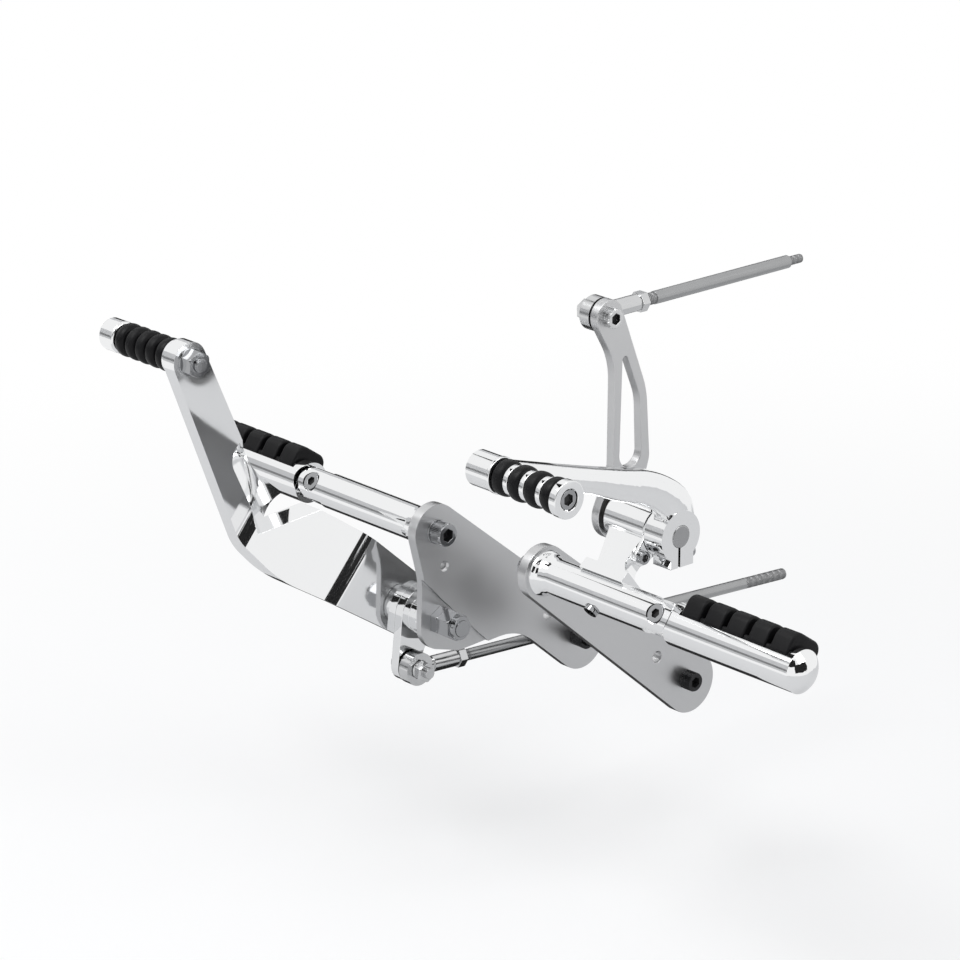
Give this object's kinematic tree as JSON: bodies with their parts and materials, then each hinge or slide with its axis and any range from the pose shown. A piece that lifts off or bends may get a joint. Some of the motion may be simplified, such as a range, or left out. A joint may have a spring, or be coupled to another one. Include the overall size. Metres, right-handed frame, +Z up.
{
  "type": "footrest set",
  "caption": "Chromed forward footrests for a motorbike: folding rubber-padded footpegs on side plates, a brake pedal with its rod and a shift lever with its linkage.",
  "frame": {"origin": "centre of the shift plate's open frame hole, on the plate's inner face", "axes": "+X outwards on the shift side along the footpegs, +Y to the rear of the motorbike, +Z up"},
  "size_m": [0.618, 0.5181, 0.3315],
  "materials": {
    "chrome": "polished",
    "polished_screw": "bright plated",
    "steel": "satin",
    "black_screw": "black oxide",
    "bronze": "machined",
    "rubber": "matte"
  },
  "bodies": {
    "mounting": {"shift_plate": "chrome", "brake_plate": "chrome", "shift_peg_support": "chrome", "brake_peg_support": "chrome", "shift_carrier": "chrome", "shaft_keeper": "chrome", "shift_support_washer": "polished_screw", "brake_support_washer": "polished_screw", "shift_support_screw": "polished_screw", "brake_support_screw": "polished_screw", "brake_pivot_jam_nut": "polished_screw", "brake_pivot_lock_nut": "polished_screw", "brake_pivot_washer": "polished_screw", "brake_pivot_bolt": "polished_screw", "shift_carrier_screw": "polished_screw", "keeper_screw": "polished_screw", "shift_fold_pin": "polished_screw", "brake_fold_pin": "polished_screw", "shift_frame_bolt": "black_screw", "brake_frame_bolt": "black_screw", "shift_frame_spacer": "black_screw", "brake_frame_spacer": "black_screw", "shaft_bush_inner": "bronze", "shaft_bush_outer": "bronze"},
    "shift_peg": {"shift_footpeg": "chrome", "shift_peg_rubber": "rubber"},
    "brake_peg": {"brake_footpeg": "chrome", "brake_peg_rubber": "rubber"},
    "brake_pedal": {"brake_lever": "chrome", "rod_arm": "chrome", "brake_pivot_bush": "bronze", "brake_toe_core": "chrome", "brake_toe_rings": "rubber", "brake_toe_cap": "chrome", "brake_toe_washer": "polished_screw", "brake_toe_nut": "polished_screw", "brake_toe_bolt": "polished_screw", "brake_rod_end_bolt": "steel", "brake_rod_end_nut": "steel", "brake_rod_end_ball": "steel"},
    "brake_linkage": {"brake_rod_end": "steel", "brake_rod": "steel", "brake_rod_jam_nut": "steel"},
    "shift_pedal": {"shift_shaft": "steel", "slotted_arm": "chrome", "slotted_arm_washer": "polished_screw", "slotted_arm_screw": "polished_screw", "shift_lever": "chrome", "shift_pinch_screw": "polished_screw", "shift_toe_core": "chrome", "shift_toe_rings": "rubber", "shift_toe_bands": "chrome", "shift_toe_end_disc": "chrome", "shift_toe_screw": "polished_screw", "shift_rod_end_ball": "steel", "shift_rod_end_bolt": "steel", "shift_rod_end_nut": "steel"},
    "shift_linkage": {"shift_rod_end": "steel", "shift_rod": "steel", "shift_rod_jam_nut": "steel"}
  },
  "joints": [
    {"name": "shift_peg_fold", "type": "hinge", "parent": "mounting", "child": "shift_peg", "pos_m": [0.1245, -0.10686, 0.08967], "axis": [0, -0.8192, 0.5736], "range_deg": [0, 80]},
    {"name": "brake_peg_fold", "type": "hinge", "parent": "mounting", "child": "brake_peg", "pos_m": [-0.2295, -0.10686, 0.08967], "axis": [0, 0.8192, -0.5736], "range_deg": [0, 80]},
    {"name": "brake_pedal_pivot", "type": "hinge", "parent": "mounting", "child": "brake_pedal", "pos_m": [-0.1385, -0.10086, 0.02067], "axis": [1, 0, 0], "range_deg": [0, 14]},
    {"name": "brake_rod_pivot", "type": "hinge", "parent": "brake_pedal", "child": "brake_linkage", "pos_m": [-0.119, -0.11436, -0.01533], "axis": [1, 0, 0], "range_deg": [-18, 0]},
    {"name": "shift_shaft_turn", "type": "hinge", "parent": "mounting", "child": "shift_pedal", "pos_m": [0.0475, -0.05997, 0.1271], "axis": [1, 0, 0], "range_deg": [-12, 12]},
    {"name": "shift_rod_pivot", "type": "hinge", "parent": "shift_pedal", "child": "shift_linkage", "pos_m": [0.0155, -0.06886, 0.26867], "axis": [1, 0, 0], "range_deg": [-15, 15]}
  ]
}
